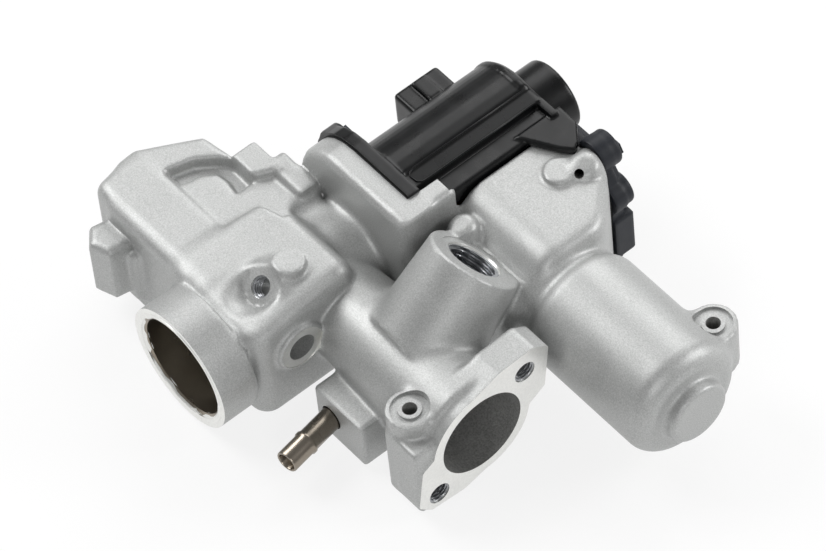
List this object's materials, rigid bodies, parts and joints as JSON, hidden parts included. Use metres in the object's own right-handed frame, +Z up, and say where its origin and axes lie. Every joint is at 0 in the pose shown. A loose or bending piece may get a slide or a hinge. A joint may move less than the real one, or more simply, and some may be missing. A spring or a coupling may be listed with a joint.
{
  "type": "egr valve",
  "caption": "Motor-driven exhaust gas recirculation valve: cast body with gas flange, outlet port, water box and a geared poppet actuator.",
  "frame": {"origin": "centre of the gas inlet bore on its flange face", "axes": "+X out of the inlet bore, +Y from the outlet port towards the actuator along the valve stem, +Z up out of the lug tops"},
  "size_m": [0.1977, 0.155, 0.0652],
  "materials": {
    "cast_aluminium": "die cast and bead blasted, fine even grain, machined faces brighter",
    "stainless_steel": "turned or drawn stainless steel",
    "black_plastic": "moulded glass-filled polyamide, semi-gloss",
    "slate_plastic": "moulded glass-filled polyamide, matt blue-grey black",
    "gear_plastic": "moulded acetal, natural",
    "machine_steel": "turned or stamped steel",
    "bronze": "sintered bronze",
    "brass": "machined brass",
    "black_steel": "black zinc-nickel plated steel",
    "rubber_seal": "moulded rubber",
    "ferrite": "sintered ferrite",
    "board": "glass epoxy board"
  },
  "bodies": {
    "housing": {"housing": "cast_aluminium", "outlet_sleeve": "stainless_steel", "coolant_pipe": "stainless_steel", "seat_ring": "stainless_steel", "return_spring": "stainless_steel", "actuator_cover": "black_plastic", "side_cover": "slate_plastic", "idler_axle": "machine_steel", "gear_plate": "machine_steel", "motor_can": "machine_steel", "motor_end_plate": "machine_steel", "stem_guide": "bronze", "arm_bush": "bronze", "plate_bush": "bronze", "motor_front_bush": "bronze", "motor_rear_bush": "bronze", "terminals": "brass", "cover_screws": "black_steel", "side_cover_screws": "black_steel", "plate_screws": "black_steel", "cover_gasket": "rubber_seal", "side_gasket": "rubber_seal", "stem_seal": "rubber_seal", "motor_magnets": "ferrite", "sensor_board": "board"},
    "valve": {"poppet_valve": "stainless_steel", "rack": "machine_steel", "spring_retainer": "stainless_steel", "sensor_magnet": "ferrite"},
    "output": {"output_gear": "gear_plastic", "output_shaft": "machine_steel"},
    "idler": {"idler_gear": "gear_plastic"},
    "rotor": {"motor_rotor": "machine_steel", "motor_pinion": "brass"}
  },
  "joints": [
    {"name": "motor_turn", "type": "hinge", "parent": "housing", "child": "rotor", "pos_m": [0, 0.053, 0.0055], "axis": [-1, 0, 0], "range_deg": [0, 916.8]},
    {"name": "idler_turn", "type": "hinge", "parent": "housing", "child": "idler", "pos_m": [0, 0.05956, -0.00737], "axis": [-1, 0, 0], "range_deg": [-305.6, 0]},
    {"name": "output_turn", "type": "hinge", "parent": "housing", "child": "output", "pos_m": [0, 0.053, 0.0055], "axis": [-1, 0, 0], "range_deg": [0, 101.9]},
    {"name": "valve_slide", "type": "slide", "parent": "housing", "child": "valve", "axis": [0, -1, 0], "range_m": [0, 0.008], "deforming": ["return_spring"]}
  ],
  "couplings": [
    {"joint": "motor_turn", "follows": "valve_slide", "rad_per_m": 2000},
    {"joint": "idler_turn", "follows": "valve_slide", "rad_per_m": -666.67},
    {"joint": "output_turn", "follows": "valve_slide", "rad_per_m": 222.22}
  ]
}
